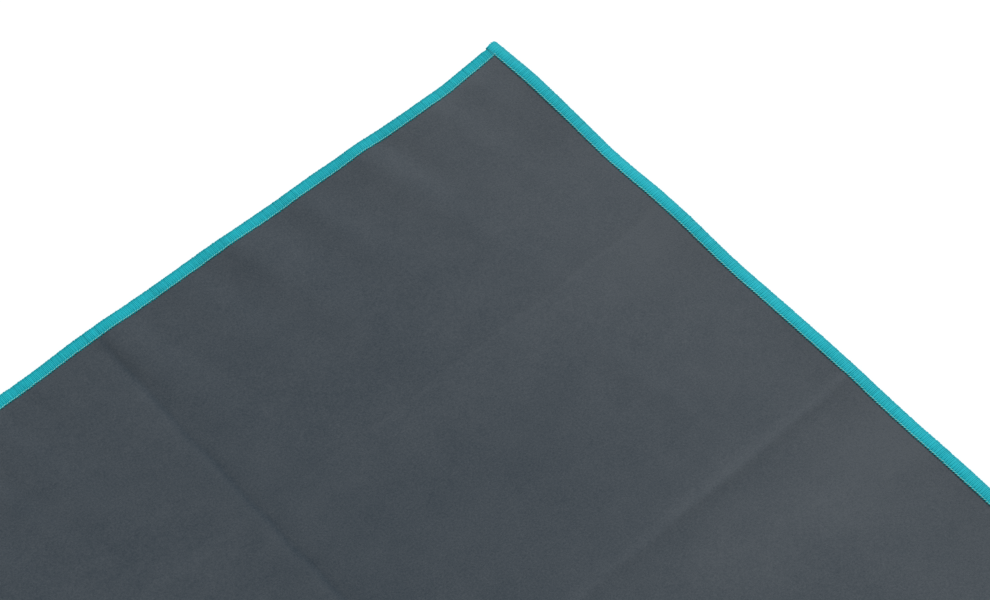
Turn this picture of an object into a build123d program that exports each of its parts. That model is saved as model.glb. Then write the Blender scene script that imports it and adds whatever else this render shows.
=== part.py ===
"""Quick-dry travel towel: one sheet of suede microfibre, bound on its four sides with a
three-thread overlock seam.

The origin is the centre of the underside, with +X along the length, +Y along the width and +Z up.
Each side is a seam of its own. Anticlockwise from above, a seam starts where the seam before it
ends and runs off the cloth, so it closes one corner and leaves a short tail of chained thread.
"""

import os

from build123d import *

# Driving dimensions
length = 800.0  # over the seams, along X
width = 400.0  # over the seams, along Y
cloth_thickness = 0.9
pressed_thickness = 0.5  # of the cloth where the seam squeezes it
seam_width = 5.0
looper_thickness = 0.35  # of the thread lying on each face of the cloth
edge_wrap = 0.4  # thread outside the cloth's cut edge
needle_line = 0.5  # width of the row of needle stitches on the seam's inner border
rounding = 0.3  # of the seam's outer corners
tail_length = 1.0
tail_taper = 0.6  # each flank of a tail leans in by this much
tail_lift = 0.2  # from the seam's two faces to the tail's

# Heights above the surface that the towel lies on
pressed_bottom = looper_thickness
pressed_top = pressed_bottom + pressed_thickness
seam_top = pressed_top + looper_thickness
seam_middle = seam_top / 2

# Each side: turn about Z from the +X side, length of that side, distance from the origin
sides = {
    "right": (0, width, length / 2),
    "back": (90, length, width / 2),
    "left": (180, width, length / 2),
    "front": (270, length, width / 2),
}


def finish(piece, name):
    """Labels a finished piece and writes it to its own file."""
    piece.part.label = name
    export_step(piece.part, f"parts/{name}.step")


os.makedirs("parts", exist_ok=True)

# The sheet: full thickness between the seams, pressed thin under them
with BuildPart() as towel_cloth:
    with BuildSketch():
        Rectangle(length - 2 * seam_width, width - 2 * seam_width)
    extrude(amount=cloth_thickness)
    with BuildSketch(Plane.XY.offset(pressed_bottom)):
        Rectangle(length - 2 * edge_wrap, width - 2 * edge_wrap)
    extrude(amount=pressed_thickness)
finish(towel_cloth, "towel_cloth")

for side, (turn, run, reach) in sides.items():
    outward = Vector(1, 0, 0).rotate(Axis.Z, turn)
    along = Vector(0, 1, 0).rotate(Axis.Z, turn)
    # The seam's cross-section, at the corner that the seam closes: local X outward, local Y up
    section = Plane(origin=along * run / 2, x_dir=outward, z_dir=-along)
    seam_run = run - seam_width
    inner_border = reach - seam_width
    looper_border = inner_border + needle_line
    cut_edge = reach - edge_wrap

    # Upper looper thread: over the top face and half-way down the cut edge
    with BuildPart() as upper_looper:
        with BuildSketch(section):
            with BuildLine():
                Polyline(
                    (looper_border, pressed_top),
                    (looper_border, seam_top),
                    (reach, seam_top),
                    (reach, seam_middle),
                    (cut_edge, seam_middle),
                    (cut_edge, pressed_top),
                    close=True,
                )
            corner = make_face().vertices().sort_by(lambda v: v.X + v.Y)[-1]
            fillet(corner, radius=rounding)
        extrude(amount=seam_run)
        with BuildSketch(section):
            with Locations((inner_border, seam_middle)):
                Rectangle(
                    cut_edge - inner_border,
                    pressed_top - seam_middle,
                    align=(Align.MIN, Align.MIN),
                )
        extrude(amount=edge_wrap)
    finish(upper_looper, f"upper_looper_thread_{side}")

    # Lower looper thread: over the underside and half-way up the cut edge
    with BuildPart() as lower_looper:
        with BuildSketch(section):
            with BuildLine():
                Polyline(
                    (inner_border, 0),
                    (reach, 0),
                    (reach, seam_middle),
                    (cut_edge, seam_middle),
                    (cut_edge, pressed_bottom),
                    (inner_border, pressed_bottom),
                    close=True,
                )
            corner = make_face().vertices().sort_by(lambda v: v.X - v.Y)[-1]
            fillet(corner, radius=rounding)
        extrude(amount=seam_run)
        with BuildSketch(section):
            with Locations((inner_border, pressed_bottom)):
                Rectangle(
                    cut_edge - inner_border,
                    seam_middle - pressed_bottom,
                    align=(Align.MIN, Align.MIN),
                )
        extrude(amount=edge_wrap)
    finish(lower_looper, f"lower_looper_thread_{side}")

    # Needle thread: the row of stitches that holds both loopers at the seam's inner border
    with BuildPart() as needle:
        with BuildSketch(section):
            with Locations((inner_border, pressed_top)):
                Rectangle(needle_line, looper_thickness, align=(Align.MIN, Align.MIN))
        extrude(amount=seam_run)
    finish(needle, f"needle_thread_{side}")

    # Tail: the stub of chained thread left where the seam was trimmed, past the corner
    tail_base = Plane(
        origin=along * run / 2 + Vector(0, 0, tail_lift), x_dir=outward, z_dir=(0, 0, 1)
    )
    with BuildPart() as tail:
        with BuildSketch(tail_base):
            with BuildLine():
                Polyline(
                    (inner_border + tail_lift, 0),
                    (reach - tail_lift, 0),
                    (reach - tail_lift - tail_taper, tail_length),
                    (inner_border + tail_lift + tail_taper, tail_length),
                    close=True,
                )
            make_face()
        extrude(amount=seam_top - 2 * tail_lift)
    finish(tail, f"thread_tail_{side}")
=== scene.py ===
"""Looks of the quick-dry towel: a sheet of slate suede microfibre that lies where it was unfolded,
bound on its four sides with a teal overlock seam.

Everything is in metres in the frame's axes: +X along the towel's length, +Y along its width.
The cloth and every thread are laid out flat first, as (u, v) across the towel and h above its
underside, and lay() then carries them onto the unfolded, slightly wavy surface. Beside a side of
the towel, s runs along its seam from the seam's start, and w runs in from its outer edge.
"""

import math
from collections import namedtuple

import bpy
import numpy as np
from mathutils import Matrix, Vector


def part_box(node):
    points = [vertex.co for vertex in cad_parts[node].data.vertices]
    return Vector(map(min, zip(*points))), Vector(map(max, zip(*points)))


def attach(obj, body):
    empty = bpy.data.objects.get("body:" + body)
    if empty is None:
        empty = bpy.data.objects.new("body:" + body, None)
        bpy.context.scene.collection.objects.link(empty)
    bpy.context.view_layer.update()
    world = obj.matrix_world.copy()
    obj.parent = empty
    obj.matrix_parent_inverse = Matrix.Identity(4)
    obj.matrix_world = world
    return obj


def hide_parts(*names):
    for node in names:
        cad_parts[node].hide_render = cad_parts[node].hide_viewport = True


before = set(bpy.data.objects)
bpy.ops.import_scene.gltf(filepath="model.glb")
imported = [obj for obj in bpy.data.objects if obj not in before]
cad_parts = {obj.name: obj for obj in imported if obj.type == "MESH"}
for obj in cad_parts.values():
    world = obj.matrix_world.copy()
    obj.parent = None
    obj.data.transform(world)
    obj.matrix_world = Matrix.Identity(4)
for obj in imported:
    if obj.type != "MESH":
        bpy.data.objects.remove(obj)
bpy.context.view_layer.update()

# ---------------------------------------------------------------- sizes from the frame
mm = 0.001
cloth_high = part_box("towel_cloth")[1]
looper_low, looper_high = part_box("upper_looper_thread_right")
half_length = looper_high.x
half_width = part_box("upper_looper_thread_back")[1].y
seam_width = looper_high.x - looper_low.x
seam_middle, seam_top = looper_low.z, looper_high.z
cloth_thickness = cloth_high.z
pressed_thickness = 0.5 * mm  # of the cloth, where the seams squeeze it
pressed_bottom = seam_middle - pressed_thickness / 2
pressed_top = seam_middle + pressed_thickness / 2

# Each side: unit vectors outward and along its seam, the seam's run, and how far out it reaches
Side = namedtuple("Side", "outward along run reach")
SIDES = {
    "right": Side((1, 0), (0, 1), 2 * half_width, half_length),
    "back": Side((0, 1), (-1, 0), 2 * half_length, half_width),
    "left": Side((-1, 0), (0, -1), 2 * half_width, half_length),
    "front": Side((0, -1), (1, 0), 2 * half_length, half_width),
}

# How a short side and a long one are sewn: how far the edge lifts and puckers off the floor, how
# far it sways as it waves, how far it is drawn in, the distance from one needle hole to the next,
# and how far the two strands of each looper stitch draw together across its needle hole, as a
# share of the stitch. The stitches of the short sides are a little looser.
Edge = namedtuple("Edge", "lift pucker sway drawn_in stitch draw")
SHORT = Edge(1.5 * mm, 0.35 * mm, 0.05 * mm, 0.40 * mm, 1.16 * mm, 0.012)
LONG = Edge(0.9 * mm, 1.3 * mm, 0.2 * mm, 0.28 * mm, 1.07 * mm, 0.0)
EDGES = {"right": SHORT, "back": LONG, "left": SHORT, "front": LONG}

# Seeds of each side's wave, gathers, pull and small unevenness. Those of the right and back sides
# were picked for outlines like the ones in the photograph. The right side's wave is a formula.
Seeds = namedtuple("Seeds", "wave gathers pull uneven")
SEEDS = {
    "right": Seeds(None, 30, 1222, 19233),
    "back": Seeds(760, 4272, 1440, 6253),
    "left": Seeds(22, 32, 42, 52),
    "front": Seeds(23, 33, 43, 53),
}


# ---------------------------------------------------------------- the unfolded surface
def hill(x, reach):
    """A smooth hump, 1 high at x = 0."""
    return np.exp(-((x / reach) ** 2))


def step(x):
    """Rises smoothly from 0 at x = 0 to 1 at x = 1."""
    t = np.clip(x, 0, 1)
    return t * t * (3 - 2 * t)


def ripples(u, v, wavelength, seed, waves=9):
    """An even, random, smooth pattern from about -1 to 1."""
    random = np.random.default_rng(seed)
    total = 0
    for _ in range(waves):
        heading, phase = random.uniform(0, 2 * np.pi, 2)
        k = 2 * np.pi / (wavelength * random.uniform(0.7, 1.5))
        total = total + np.cos(k * (u * np.cos(heading) + v * np.sin(heading)) + phase)
    return total * math.sqrt(2 / waves) / 2


def ripples_along(s, wavelength, seed):
    """Such a pattern along a line."""
    return ripples(s, 0 * s, wavelength, seed)


def fold(d, sense, rise, spread, lean):
    """A crease at d = 0: a low ridge (sense 1), or a groove between two shoulders (sense -1).
    Its two sides aren't alike: the one at d > 0 is the wider where lean is positive."""
    tip, turn, shoulder_reach = 0.4 * mm, 0.5 * mm, 18 * mm
    away = np.sqrt(d * d + tip**2) - tip
    kink = np.exp(-away / (spread * (1 + lean * np.tanh(d / turn))))
    ridge = rise * kink
    groove = rise * (1 - kink) * hill(d, shoulder_reach)
    return np.where(sense > 0, ridge * sense, groove * -sense)


# The towel was folded in half twice along its length and then twice across it, so its creases
# stand a quarter of each side apart. A crease made in the first folds keeps one sense; one made
# in the later folds, through several layers, changes sense from panel to panel.
# Each crosswise crease: its place along X, the seed of its wandering, its sense and its lean. The
# last is in the photograph, and its seed was picked for a line like the one there.
CROSSWISE = (
    (-half_length / 2, 71, 1, -0.4),
    (0, 72, -1, -0.3),
    (half_length / 2, 5322, -1, 0.4),
)
# Each lengthwise one: its place along Y, seed, sense, lean and rise, how far beside it a strip of
# painted light lies, for the side of the fold that faces the light, and how much
LENGTHWISE = (
    (-half_width / 2, 81, 1, 0.2, 0.2 * mm, 9 * mm, 0.3),
    (0, 82, 1, 0.1, 0.75 * mm, 28 * mm, 0.5),
    (half_width / 2, 83, -1, -0.4, 0.2 * mm, 8 * mm, 0.3),
)


def past_crease(across, along, place, seed):
    """Distance past a crease, which wanders a little to either side of its place."""
    wander, wavelength = 0.6 * mm, 26 * mm
    return across - place - wander * ripples_along(along, wavelength, seed)


def panel_sense(u):
    """1 or -1, in turn from each panel between crosswise creases to the next."""
    sharpness = 6
    return np.clip(-sharpness * np.sin(2 * np.pi * u / half_length), -1, 1)


def crispness(u, v):
    """The lengthwise creases are sharpest near the towel's ends."""
    near_end = hill(half_length - abs(u), 170 * mm)
    return np.clip(0.2 + 0.9 * near_end + 0.25 * ripples(u, v, 90 * mm, 3), 0, 2)


def creases(u, v):
    """How far the folds' creases raise the cloth."""
    z = 0
    for place, seed, sense, lean in CROSSWISE:
        z = z + fold(past_crease(u, v, place, seed), sense, 0.4 * mm, 3 * mm, lean)
    for place, seed, sense, lean, rise, *_ in LENGTHWISE:
        past = past_crease(v, u, place, seed)
        z = z + fold(past, sense * panel_sense(u), rise * crispness(u, v), 5 * mm, lean)
    return z


# Faint creases left by how the folded towel was packed: two ends, a rise and a width each, in mm
STRAY_CREASES = (
    ((334, 96), (342, 14), 0.22, 5),
    ((296, 18), (262, -60), 0.15, 6),
    ((-322, 60), (-338, -48), 0.22, 5),
    ((118, 128), (70, 62), 0.18, 6),
    ((-90, -150), (-150, -96), 0.18, 6),
)


def stray_creases(u, v):
    """How far the stray creases raise the cloth: low ridges that fade towards their ends."""
    z = 0
    for (u1, v1), (u2, v2), rise, width in STRAY_CREASES:
        long_u, long_v = (u2 - u1) * mm, (v2 - v1) * mm
        length = math.hypot(long_u, long_v)
        along = ((u - u1 * mm) * long_u + (v - v1 * mm) * long_v) / length
        across = ((u - u1 * mm) * long_v - (v - v1 * mm) * long_u) / length
        middle = np.clip(1 - (2 * along / length - 1) ** 2, 0, 1)
        z = z + rise * mm * middle * hill(across, width * mm)
    return z


def beside(u, v, side):
    """Distance s along the side's seam and distance w in from its outer edge."""
    outward, along, run, reach = SIDES[side]
    return u * along[0] + v * along[1] + run / 2, reach - u * outward[0] - v * outward[1]


def on_towel(s, w, side):
    """The flat place u, v that is s along the side's seam and w in from its outer edge."""
    outward, along, run, reach = SIDES[side]
    u = outward[0] * (reach - w) + along[0] * (s - run / 2)
    v = outward[1] * (reach - w) + along[1] * (s - run / 2)
    return u, v


def edge_wave(side, s):
    """The overlocked edge is a little too long for its cloth, so it waves, from about -1 to 1."""
    if side == "right":
        wavelength, first_crest, fading = 79 * mm, 27 * mm, 230 * mm
        from_corner = SIDES[side].run - s
        crests = np.cos(2 * np.pi * (from_corner - first_crest) / wavelength)
        return 1.05 * np.exp(-from_corner / fading) * crests
    return 0.8 * ripples_along(s, 76 * mm, SEEDS[side].wave)


def gathers(side, s):
    """Small puckers that the stitches leave, square to the seam: about 0 to 2 along it."""
    broad, fine = (ripples_along(s, length, SEEDS[side].gathers) for length in (22 * mm, 12 * mm))
    return (0.7 + broad + 0.25 * fine) * step(s / (30 * mm))


def height(u, v):
    """The height of the underside, before lay() brings its lowest point down to the floor."""
    z = 0.3 * mm * ripples(u, v, 190 * mm, 11) + 0.1 * mm * ripples(u, v, 60 * mm, 12)
    z = z + creases(u, v) + stray_creases(u, v)
    # The seam itself stays flat: the cloth bends and puckers from its inner border on
    border, bend = 4 * mm, 2.5 * mm
    lift_reach, pucker_reach, pucker_slant = 13 * mm, 32 * mm, 0.2
    for side, edge in EDGES.items():
        s, w = beside(u, v, side)
        slack = np.logaddexp(0, (w - border) / bend) * bend
        z = z + edge.lift * (1 + edge_wave(side, s)) * np.exp(-slack / lift_reach)
        puckered = np.exp(-w / pucker_reach) * (1 - 0.75 * np.exp(-slack / (5 * mm)))
        z = z + edge.pucker * gathers(side, s + pucker_slant * w) * puckered
    return z


def shift(u, v):
    """How far the seams pull the cloth sideways: inward near the corner that each starts from."""
    du, dv = 0 * u, 0 * v
    for side, edge in EDGES.items():
        s, w = beside(u, v, side)
        pull = -2.1 * mm * hill(s - 40 * mm, 25 * mm) + 0.5 * mm * hill(s, 9 * mm)
        pull = pull + 0.7 * mm * ripples_along(s, 280 * mm, SEEDS[side].pull) * step(s / (90 * mm))
        pull = pull + edge.sway * edge_wave(side, s) - edge.drawn_in
        uneven = 0.18 * mm * ripples_along(s, 22 * mm, SEEDS[side].uneven)
        outwards = pull * np.exp(-w / (45 * mm)) + uneven * np.exp(-w / (15 * mm))
        du = du + SIDES[side].outward[0] * outwards
        dv = dv + SIDES[side].outward[1] * outwards
    return du, dv


def lowest_height():
    """The lowest of the heights at points 2 mm apart."""
    lengthwise = np.linspace(-half_length, half_length, 401)
    crosswise = np.linspace(-half_width, half_width, 201)
    return height(*np.meshgrid(lengthwise, crosswise)).min()


floor_offset = lowest_height()


def lay(u, v, h):
    """Points of the laid towel, for flat places u, v and heights h above its underside."""
    du, dv = shift(u, v)
    nearby = 0.2 * mm
    slope_u = (height(u + nearby, v) - height(u - nearby, v)) / (2 * nearby)
    slope_v = (height(u, v + nearby) - height(u, v - nearby)) / (2 * nearby)
    z = height(u, v) - floor_offset + h
    return np.stack([u + du - slope_u * h, v + dv - slope_v * h, z], axis=-1)


# ---------------------------------------------------------------- meshes
RING = 7  # corners of a thread's cross-section
NO_CAPS = np.empty((0, RING), int)


def mesh_object(name, points, quads, caps=NO_CAPS):
    """A smooth mesh of four-cornered faces, and of caps with RING corners each."""
    corners = np.concatenate([quads.ravel(), caps.ravel()])
    starts = np.concatenate([np.arange(len(quads)) * 4, quads.size + np.arange(len(caps)) * RING])
    mesh = bpy.data.meshes.new(name)
    mesh.vertices.add(len(points))
    mesh.vertices.foreach_set("co", points.astype(np.float32).ravel())
    mesh.loops.add(corners.size)
    mesh.loops.foreach_set("vertex_index", corners.astype(np.int32))
    mesh.polygons.add(starts.size)
    mesh.polygons.foreach_set("loop_start", starts.astype(np.int32))
    mesh.polygons.foreach_set("use_smooth", np.ones(starts.size, bool))
    mesh.update(calc_edges=True)
    made = bpy.data.objects.new(name, mesh)
    bpy.context.scene.collection.objects.link(made)
    return made


def point_values(piece, name, values):
    """Gives each point of the mesh a number, or three, for its material to read."""
    kind, field = ("FLOAT", "value") if values.ndim == 1 else ("FLOAT_VECTOR", "vector")
    attribute = piece.data.attributes.new(name, kind, "POINT")
    attribute.data.foreach_set(field, values.astype(np.float32).ravel())


# ---------------------------------------------------------------- the cloth
def grid_lines(half, crease_places, wide):
    """Places of the cloth's mesh lines from -half to half: at most wide apart, and much closer at
    creases and seams."""
    from_edge = np.array([0, 1.6, 3.2, 4.2, 4.7, 5.1, 5.5, 6.0, 6.7, 7.6, 9.0, 11.0]) * mm
    from_crease = np.concatenate([[-6 * mm], np.arange(-6, 7) * 0.7 * mm, [6 * mm]])
    lines = [from_edge - half, half - from_edge]
    lines += [place + from_crease for place in crease_places]
    decimals = 7  # of a metre: lines that agree so far are one
    stops = np.unique(np.round(np.concatenate(lines), decimals))
    filled = [
        np.linspace(a, b, max(2, math.ceil((b - a) / wide) + 1)) for a, b in zip(stops, stops[1:])
    ]
    return np.unique(np.round(np.concatenate(filled), decimals))


# Stray patches where handling has raised the nap: a place and a reach in mm, and an amount each
RAISED_PATCHES = (
    ((274, 4), 24, 0.32),
    ((312, -14), 16, 0.36),
    ((318, 175), 18, 0.2),
    ((388, 84), 16, 0.45),
    ((246, 42), 18, 0.22),
    ((-306, -52), 30, 0.3),
    ((-118, 84), 34, 0.22),
    ((64, -126), 30, 0.26),
    ((-230, 140), 22, 0.25),
)


def raised_patches(u, v):
    """How much the stray patches raise the nap."""
    nap = 0
    for (patch_u, patch_v), reach, amount in RAISED_PATCHES:
        nap = nap + amount * hill(np.hypot(u - patch_u * mm, v - patch_v * mm), reach * mm)
    return nap


def nap_and_painted_light_at(u, v):
    """How pale the cloth is, from its nap and from painted light and shade: painted light makes it
    paler towards the towel's ends and beside the lengthwise folds; in the crosswise creases the nap
    is crushed and painted shade darkens it.
    """
    # Painted light: paler towards the towel's ends, for sheen and brighter light there; a little
    # paler near its long edges
    nap = 1.12 * hill(half_length - abs(u), 90 * mm) + 0.2 * hill(half_width - abs(v), 55 * mm)
    # Darker along the crosswise creases: partly crushed nap, partly painted shade in the crease
    for place, seed, *_ in CROSSWISE:
        nap = nap - 0.75 * hill(past_crease(u, v, place, seed) + 0.6 * mm, 1.3 * mm)
    # It lies a little flatter on the two end panels
    nap = nap - 0.06 * np.tanh((abs(u) - half_length / 2) / (1 * mm))
    for place, seed, sense, _, _, painted_light_beside, painted_light_amount in LENGTHWISE:
        ridge = (1 + sense * panel_sense(u)) / 2
        past = past_crease(v, u, place, seed)
        rubbed = hill(past - 2 * mm * ridge, (1.2 + 1.8 * ridge) * mm)
        nap = nap + 0.3 * rubbed * crispness(u, v)
        # Painted light: a paler strip beside the fold, for the side of it that faces the light
        strip = hill(v - place + painted_light_beside, 8 * mm + 0.35 * painted_light_beside)
        nap = nap + painted_light_amount * strip * hill(half_length - abs(u), 200 * mm)
    return nap + raised_patches(u, v)


def make_cloth():
    """One closed sheet: its face, its underside and the wall round its cut edge."""
    lines_u = grid_lines(cloth_high.x, [place for place, *_ in CROSSWISE], 2.8 * mm)
    lines_v = grid_lines(cloth_high.y, [place for place, *_ in LENGTHWISE], 5 * mm)
    u, v = np.meshgrid(lines_u, lines_v, indexing="ij")
    # Squeezed under the seam, it swells to its full thickness past the seam's inner border
    w = np.minimum(half_length - abs(u), half_width - abs(v))
    swelling = step((w - 4.5 * mm) / (1.0 * mm))
    top = pressed_top + (cloth_thickness - pressed_top) * swelling
    bottom = pressed_bottom * (1 - step((w - 4.7 * mm) / (1.6 * mm)))
    points = np.concatenate([lay(u, v, top).reshape(-1, 3), lay(u, v, bottom).reshape(-1, 3)])

    index = np.arange(u.size).reshape(u.shape)
    a, b, c, d = index[:-1, :-1], index[1:, :-1], index[1:, 1:], index[:-1, 1:]
    upper = np.stack([a, b, c, d], axis=-1).reshape(-1, 4)
    lower = upper[:, ::-1] + u.size
    rim = np.concatenate([index[:, 0], index[-1, 1:], index[-2::-1, -1], index[0, -2:0:-1]])
    after = np.roll(rim, -1)
    wall = np.stack([rim, rim + u.size, after + u.size, after], axis=-1)
    cloth = mesh_object("cloth", points, np.concatenate([upper, lower, wall]))
    # The nap values carry painted light and shade as well as the nap's own tone
    point_values(cloth, "nap", np.tile(nap_and_painted_light_at(u, v).ravel(), 2))
    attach(cloth, "root")
    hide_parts("towel_cloth")
    return cloth


# ---------------------------------------------------------------- the overlock seam
tuck = 0.8 * mm  # of each seam's start, under the end of the seam before it
run_off = 0.4 * mm  # of each seam past the cloth's corner
end_slant = 0.45 * mm  # how far short of that its inner border ends, held back by the needle thread
nook_shade = 0.45  # painted shade of the threads that lie in the nooks of a corner, from 0 to 1

# Half a stitch of a looper thread: from a needle hole out to the cut edge and round it. The other
# half is its mirror image. Each row: share of a stitch along the seam, mm in from the outer edge,
# share of the way from the middle of the seam to its crown, and how full the thread is.
LOOPER_HALF_STITCH = (
    (0.00, 5.14, 0.70, 0.65),
    (0.06, 5.09, 0.75, 0.72),
    (0.12, 4.93, 0.83, 0.88),
    (0.19, 4.50, 0.95, 1.00),
    (0.23, 3.10, 1.02, 1.00),
    (0.25, 1.40, 0.89, 1.00),
    (0.26, 0.50, 0.64, 1.00),
    (0.29, 0.12, 0.34, 0.95),
    (0.38, 0.02, 0.10, 0.85),
    (0.50, 0.00, 0.02, 0.80),
)
LOOPER_STITCH = np.array(
    LOOPER_HALF_STITCH + tuple((1 - s, *rest) for s, *rest in LOOPER_HALF_STITCH[-2:0:-1])
)
# One stitch of the needle thread: over the loopers to the next hole, then down through the
# cloth, round the lower looper thread and back up. The third column is a height in mm.
NEEDLE_STITCH = np.array(
    [
        (0.11, 4.61, 1.02, 1.0),
        (0.27, 4.67, 1.18, 1.0),
        (0.48, 4.77, 1.21, 1.0),
        (0.69, 4.88, 1.15, 1.0),
        (0.84, 4.92, 0.82, 0.9),
        (0.93, 4.88, 0.30, 0.8),
        (1.00, 4.76, 0.16, 0.8),
        (1.05, 4.66, 0.38, 0.8),
    ]
)


def seam_path(side, pattern, seed, crown, offset=0.0):
    """One thread of a seam: its pattern repeated stitch by stitch, a bit unevenly, and moved along
    by offset stitches. crown() turns the pattern's third column into a height. Gives the thread's
    distances along the seam, in from its edge and up, and its fullness."""
    stitch, draw = EDGES[side].stitch, EDGES[side].draw
    start, end = seam_width - tuck, SIDES[side].run + run_off
    count = round((end - start) / stitch)
    random = np.random.default_rng(seed)
    unevenness = (0.035 * stitch, 0.05 * mm, 0.02 * mm)
    wobble = random.normal(0, 1, (count, 1, 3)) * unevenness
    rows = np.repeat(pattern[None], count, axis=0)
    share = rows[..., 0] - draw * np.sin(2 * np.pi * rows[..., 0])
    s = start + (np.arange(count)[:, None] + share + offset) * (end - start) / count
    w = rows[..., 1] * mm
    h = crown(rows[..., 2])
    s, w, h = (x + wobble[..., i] for i, x in enumerate((s, w, h)))
    s = s - end_slant * w / seam_width * step((s - end) / (4 * mm) + 1)
    # Where it comes out from under the seam before it, it is drawn in
    w = w + 0.7 * mm * hill(s - start, 2.2 * mm) * (1 - w / seam_width)
    # The seam's outer corner is round where it runs off the cloth
    corner_radius = 1.1 * mm
    past = np.clip((s - (end - corner_radius)) / corner_radius, 0, 1)
    w = w + corner_radius * (1 - np.sqrt(1 - past**2)) * (1 - w / seam_width)
    full = rows[..., 3] * (1 + 0.05 * random.normal(0, 1, rows.shape[:2]))
    return s.ravel(), w.ravel(), h.ravel(), full.ravel()


def sunk_end(side, path):
    """A needle thread's path, pulled down among the loopers where its seam crosses the next."""
    s, w, h, full = path
    crossing = SIDES[side].run - seam_width
    return s, w, h - 0.35 * mm * step((s - crossing) / (1 * mm)), full


def looper_facing(w, h):
    """Outward round the cut edge, and away from the cloth elsewhere."""
    return np.clip(1 - w / (0.9 * mm), 0, 1), (h - seam_middle) / (0.3 * mm)


def needle_facing(_, h):
    """Up where the thread lies on the seam, and outward where it goes down through the cloth."""
    up = step((h - 0.7 * mm) / (0.3 * mm))
    return 1 - up, up


def looper_painted_shade(w, _):
    """Painted shade on a looper thread: round the cut edge, and where the needle thread holds it
    down.
    """
    return np.maximum(0.4 * hill(w - 0.3 * mm, 0.5 * mm), 0.4 * step((w - 4.3 * mm) / (0.7 * mm)))


def needle_painted_shade(_, h):
    """Painted shade on a needle thread, down in the cloth."""
    return step((0.9 * mm - h) / (0.4 * mm))


def sweep(path, away, radius_wide, radius_flat):
    """A closed tube along path, flattened towards away, which is the direction it faces."""
    tangent = np.gradient(path, axis=0)
    tangent /= np.linalg.norm(tangent, axis=1, keepdims=True)
    side = np.cross(away, tangent)
    side /= np.linalg.norm(side, axis=1, keepdims=True)
    across = np.cross(tangent, side)
    angle = 2 * np.pi * np.arange(RING) / RING
    ring = (
        np.cos(angle)[None, :, None] * (side * radius_wide[:, None])[:, None]
        + np.sin(angle)[None, :, None] * (across * radius_flat[:, None])[:, None]
    )
    points = (path[:, None] + ring).reshape(-1, 3)
    first = np.arange(len(path) - 1)[:, None] * RING
    corner = np.arange(RING)[None]
    following = (corner + 1) % RING
    walls = np.stack(
        [first + corner, first + following, first + following + RING, first + corner + RING], -1
    ).reshape(-1, 4)
    caps = np.concatenate([corner[:, ::-1], corner + len(points) - RING])
    return points, walls, caps


def finish_thread(thread, node, shaded):
    """Stores what the thread's material reads: where on its ring each point is, as a cosine and a
    sine, how far along the thread, and how much painted shade darkens it. Then puts it in its CAD
    node's place."""
    rings = len(shaded)
    angle = np.tile(2 * np.pi * np.arange(RING) / RING, rings)
    places = np.empty(len(thread.data.vertices) * 3)
    thread.data.vertices.foreach_get("co", places)
    centres = places.reshape(rings, RING, 3).mean(axis=1)
    steps = np.linalg.norm(np.diff(centres, axis=0), axis=1)
    along = np.repeat(np.concatenate([[0], np.cumsum(steps)]), RING)
    point_values(thread, "winding", np.stack([np.cos(angle), np.sin(angle), along], axis=-1))
    point_values(thread, "shaded", np.repeat(shaded, RING))
    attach(thread, "root")
    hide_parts(node)
    return thread


def sewn_thread(name, node, side, path, facing, painted_shade, radii):
    """facing(w, h) gives the outward and the upward part of the direction that the thread faces,
    and painted_shade(w, h) how much painted shade darkens its colour there, from 0 to 1, for how
    deep in the seam it lies."""
    s, w, h, full = path
    u, v = on_towel(s, w, side)
    out, up = facing(w, h)
    outward = SIDES[side].outward
    away = np.stack([out * outward[0], out * outward[1], up], axis=-1)
    thread = mesh_object(name, *sweep(lay(u, v, h), away, radii[0] * full, radii[1] * full))
    # Painted shade, too, where the thread comes out from under the seam before it
    near_start = nook_shade * hill(s - seam_width, 0.8 * mm)
    return finish_thread(thread, node, np.maximum(painted_shade(w, h), near_start))


def make_seam(side, number):
    """The upper looper, lower looper and needle threads of one side."""
    looper_radii, needle_radii = (0.36 * mm, 0.19 * mm), (0.18 * mm, 0.16 * mm)
    rise = seam_top - 0.16 * mm - seam_middle
    fall = seam_middle - looper_radii[1] - 0.01 * mm
    upper = seam_path(side, LOOPER_STITCH, 100 + number, lambda x: seam_middle + x * rise)
    lower = seam_path(side, LOOPER_STITCH, 200 + number, lambda x: seam_middle - x * fall, 0.25)
    needle = seam_path(side, NEEDLE_STITCH, 300 + number, lambda x: x * mm)
    threads = [
        sewn_thread(
            f"{layer}_looper_{side}",
            f"{layer}_looper_thread_{side}",
            side,
            path,
            looper_facing,
            looper_painted_shade,
            looper_radii,
        )
        for layer, path in (("upper", upper), ("lower", lower))
    ]
    threads.append(
        sewn_thread(
            f"needle_line_{side}",
            f"needle_thread_{side}",
            side,
            sunk_end(side, needle),
            needle_facing,
            needle_painted_shade,
            needle_radii,
        )
    )
    return threads


def make_tail(side, number):
    """The trimmed chain at the end of a seam: the cut ends of its threads, side by side."""
    random = np.random.default_rng(400 + number)
    tubes, count = [], 0
    for w in np.linspace(1.7, 4.5, 6) * mm:
        end = SIDES[side].run + run_off - end_slant * w / seam_width
        s = end + np.array([-0.6, -0.1, 0.3, 0.5 + random.uniform(-0.15, 0.3)]) * mm
        lean = random.uniform(-0.35, 0.35)
        u, v = on_towel(s, w + (s - s[0]) * lean, side)
        h = seam_middle + random.uniform(-0.25, 0.35) * mm * np.array([1, 1, 0.9, 0.7])
        radius = np.array([0.24, 0.25, 0.22, 0.12]) * mm
        upward = np.tile([0.0, 0.0, 1.0], (len(s), 1))
        points, walls, caps = sweep(lay(u, v, h), upward, radius, radius)
        tubes.append((points, walls + count, caps + count))
        count += len(points)
    tail = mesh_object(f"tail_{side}", *(np.concatenate(part) for part in zip(*tubes)))
    # Its cut ends lie in the nook of the corner and get painted shade
    return finish_thread(tail, f"thread_tail_{side}", np.full(count // RING, nook_shade))


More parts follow.
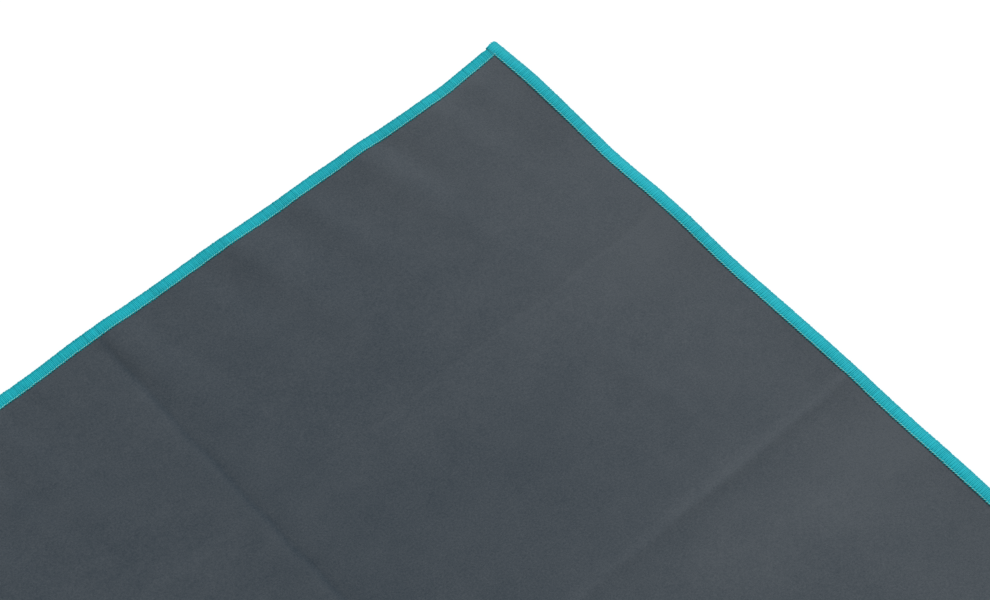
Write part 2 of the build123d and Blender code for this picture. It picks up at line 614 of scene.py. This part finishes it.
# ---------------------------------------------------------------- materials
MIX_A, MIX_B, MIXED = 6, 7, 2  # a Mix node's sockets for colours: others have the same names


def set_inputs(tree, node, inputs):
    """Sets a node's inputs. Each is a number, a colour or another node's output."""
    for name, value in inputs.items():
        if isinstance(value, bpy.types.NodeSocket):
            tree.links.new(value, node.inputs[name])
        else:
            node.inputs[name].default_value = value


def add(tree, kind, inputs, output, **settings):
    """Adds a node and gives one of its outputs."""
    node = tree.nodes.new(kind)
    for name, value in settings.items():
        setattr(node, name, value)
    set_inputs(tree, node, inputs)
    return node.outputs[output]


def new_material(name):
    material = bpy.data.materials.new(name)
    material.use_nodes = True
    tree = material.node_tree
    place = add(tree, "ShaderNodeTexCoord", {}, "Object")
    return material, tree, tree.nodes["Principled BSDF"], place


def calculate(tree, operation, *values):
    return add(tree, "ShaderNodeMath", dict(enumerate(values)), "Value", operation=operation)


def read(tree, name, output="Fac"):
    """What point_values gave the mesh under this name."""
    return add(tree, "ShaderNodeAttribute", {}, output, attribute_name=name)


def noise(tree, place, scale, detail=2.0, roughness=0.5):
    inputs = {"Vector": place, "Scale": scale, "Detail": detail, "Roughness": roughness}
    return add(tree, "ShaderNodeTexNoise", inputs, "Fac")


def stretched(tree, place, scale, turn=0.0):
    """Coordinates scaled by a separate amount along each axis, and turned about Z."""
    inputs = {"Vector": place, "Scale": scale, "Rotation": (0, 0, turn)}
    return add(tree, "ShaderNodeMapping", inputs, "Vector")


def weighted_sum(tree, base, *terms):
    """base + the sum of weight * (value - 0.5) over (value, weight) pairs."""
    total = base
    for value, weight in terms:
        total = calculate(tree, "MULTIPLY_ADD", value, weight, total)
        total = calculate(tree, "SUBTRACT", total, weight / 2)
    return total


def blend_colours(tree, share, first, second):
    inputs = {"Factor": share, MIX_A: first, MIX_B: second}
    return add(tree, "ShaderNodeMix", inputs, MIXED, data_type="RGBA", clamp_factor=True)


def bump(tree, pattern, distance):
    inputs = {"Strength": 0.6, "Distance": distance, "Height": pattern}
    return add(tree, "ShaderNodeBump", inputs, "Normal")


def microfibre():
    """Brushed suede: short fibres that lie mostly one way, over patches of raised nap."""
    material, tree, shader, place = new_material("suede_microfibre")
    streaks = noise(tree, stretched(tree, place, (45, 110, 60), 0.5), 1, 3)
    fibre = noise(tree, stretched(tree, place, (1500, 4200, 2500), 0.5), 1, 4, 0.7)
    grain = noise(tree, place, 1300, 3, 0.75)
    mottling = weighted_sum(
        tree,
        0.37,
        (noise(tree, place, 9, 3), 0.2),
        (noise(tree, place, 55, 4, 0.65), 0.38),
        (streaks, 0.1),
        (noise(tree, place, 300, 3), 0.2),
        (grain, 1.2),
        (fibre, 1.0),
    )
    # The nap values bring in painted light and shade as well as the nap's own tone
    share = calculate(tree, "MULTIPLY_ADD", read(tree, "nap"), 0.35, mottling)
    dark, light = (0.026, 0.037, 0.048, 1), (0.070, 0.081, 0.092, 1)
    looks = {
        "Base Color": blend_colours(tree, share, dark, light),
        "Roughness": 0.92,
        "Specular IOR Level": 0.15,
        "Sheen Weight": 0.12,
        "Sheen Roughness": 0.45,
        "Sheen Tint": (0.95, 0.97, 1.0, 1),
        "Normal": bump(tree, weighted_sum(tree, grain, (fibre, 1.0)), 0.12 * mm),
    }
    set_inputs(tree, shader, looks)
    return material


def filaments(tree):
    """Streaks that run along a thread and wind slowly round it, as its filaments do."""
    full_turn = 3.2 * mm
    winding = read(tree, "winding", "Vector")
    along = add(tree, "ShaderNodeSeparateXYZ", {"Vector": winding}, "Z")
    turn = calculate(tree, "MULTIPLY", along, 2 * math.pi / full_turn)
    inputs = {"Vector": winding, "Angle": turn}
    twisted = add(tree, "ShaderNodeVectorRotate", inputs, "Vector", rotation_type="Z_AXIS")
    return noise(tree, stretched(tree, twisted, (2.6, 2.6, 700)), 1, 3, 0.6)


def yarn(name, dark, light):
    """Textured polyester yarn: fine filaments, a little uneven in colour, with painted shade where
    the thread's shaded values say.
    """
    material, tree, shader, place = new_material(name)
    filament = filaments(tree)
    share = weighted_sum(tree, 0.5, (noise(tree, place, 130, 3), 0.8), (filament, 1.6))
    colour = blend_colours(tree, share, dark, light)
    greener = (dark[0] + 0.5 * (light[0] - dark[0]), light[1], dark[2], 1)
    hue = calculate(tree, "MULTIPLY", noise(tree, place, 230), 0.35)
    colour = blend_colours(tree, hue, colour, greener)
    # Painted shade: the yarn's darkest colour at 0.4, blended in as far as the thread's shaded
    # values go
    deep = tuple(0.4 * x for x in dark[:3]) + (1,)
    looks = {
        "Base Color": blend_colours(tree, read(tree, "shaded"), colour, deep),
        "Roughness": 0.5,
        "Specular IOR Level": 0.08,
        "Normal": bump(tree, filament, 0.1 * mm),
    }
    set_inputs(tree, shader, looks)
    return material


def pale_floor():
    """Matt, and very slightly uneven."""
    material, tree, shader, place = new_material("pale_floor")
    pale, paler = (0.9, 0.9, 0.9, 1), (0.92, 0.92, 0.92, 1)
    looks = {
        "Base Color": blend_colours(tree, noise(tree, place, 3, 2), pale, paler),
        "Roughness": 0.9,
        "Specular IOR Level": 0.1,
    }
    set_inputs(tree, shader, looks)
    return material


# ---------------------------------------------------------------- the towel
cloth = make_cloth()
cloth.data.materials.append(microfibre())

# One looper yarn in two copies with painted light and shade: that of the short sides is
# painted a little paler, that of the long sides a little darker
looper_yarn_painted_lighter = yarn("looper_yarn_with_painted_light", (0.010, 0.314, 0.394, 1), (0.016, 0.443, 0.544, 1))
looper_yarn_painted_darker = yarn("looper_yarn_with_painted_shade", (0.002, 0.275, 0.345, 1), (0.004, 0.387, 0.476, 1))
needle_yarn = yarn("needle_yarn", (0.13, 0.47, 0.47, 1), (0.22, 0.60, 0.59, 1))
seam_pieces = []
for number, (side, edge) in enumerate(EDGES.items()):
    upper, lower, needle = make_seam(side, number)
    tail = make_tail(side, number)
    for piece in (upper, lower, tail):
        piece.data.materials.append(looper_yarn_painted_lighter if edge == SHORT else looper_yarn_painted_darker)
    needle.data.materials.append(needle_yarn)
    seam_pieces += [upper, lower, needle, tail]


# ---------------------------------------------------------------- floor, light and camera
def make_floor():
    half = 4.0
    corners = np.array([(-1, -1, 0), (1, -1, 0), (1, 1, 0), (-1, 1, 0)]) * half
    floor = mesh_object("floor", corners, np.array([[0, 1, 2, 3]]))
    floor.data.materials.append(pale_floor())


def make_light(name, towards, width, strength):
    """A far, wide light that lights the towel and its floor evenly."""
    light = bpy.data.lights.new(name, "SUN")
    light.angle = math.radians(width)
    light.energy = strength
    lamp = bpy.data.objects.new(name, light)
    bpy.context.scene.collection.objects.link(lamp)
    lamp.rotation_mode = "QUATERNION"
    lamp.rotation_quaternion = Vector(towards).to_track_quat("Z", "Y")


def make_surroundings(colour, strength):
    """Even light from all round."""
    world = bpy.data.worlds.new("studio")
    world.use_nodes = True
    background = world.node_tree.nodes["Background"]
    background.inputs["Color"].default_value = colour
    background.inputs["Strength"].default_value = strength
    bpy.context.scene.world = world


def make_camera(corner):
    """Looks down at the towel's far right corner, from nearer and to its left."""
    azimuth, elevation, distance = math.radians(-41.6), math.radians(58.8), 1.026
    aim = corner + Vector((-0.0796, -0.0888, 1.8 * mm))
    level = math.cos(elevation)
    back = Vector((math.sin(azimuth) * level, -math.cos(azimuth) * level, math.sin(elevation)))
    camera = bpy.data.objects.new("camera", bpy.data.cameras.new("camera"))
    bpy.context.scene.collection.objects.link(camera)
    camera.data.lens = 100
    camera.data.sensor_width = 36
    camera.data.clip_start = 0.01
    camera.location = aim + back * distance
    camera.rotation_mode = "QUATERNION"
    camera.rotation_quaternion = back.to_track_quat("Z", "Y")
    bpy.context.scene.camera = camera


make_floor()
make_light("softbox", towards=(0.69, 0.45, 0.57), width=26, strength=4.05)
make_surroundings((0.97, 0.99, 1, 1), 0.45)
bpy.context.scene.view_settings.view_transform = "Standard"
make_camera(corner=Vector((half_length, half_width, 0)))
